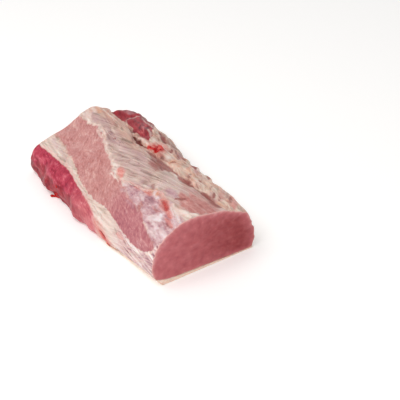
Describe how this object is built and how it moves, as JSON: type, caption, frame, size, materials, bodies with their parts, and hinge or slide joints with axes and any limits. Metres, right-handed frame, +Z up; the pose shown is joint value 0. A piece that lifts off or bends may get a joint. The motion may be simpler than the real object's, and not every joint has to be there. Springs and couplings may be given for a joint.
{
  "type": "raw boneless pork loin",
  "caption": "Block of raw boneless pork loin with a fresh flat cut at one end, silverskin and fat seams on top, resting on its fat side.",
  "frame": {"origin": "centre of the base, on the surface that the loin lies on", "axes": "+X along the loin towards its fresh cut face, +Y towards the rib strip side, -Y towards the dark side muscle, +Z up"},
  "size_m": [0.25, 0.1518, 0.065],
  "materials": {
    "lean": "moist raw lean pork with fibre grain, silverskin and fat seams",
    "fat": "soft cream back fat with a faint sheen"
  },
  "bodies": {
    "root": {"lean": "lean", "fat_cap": "fat"}
  },
  "joints": []
}
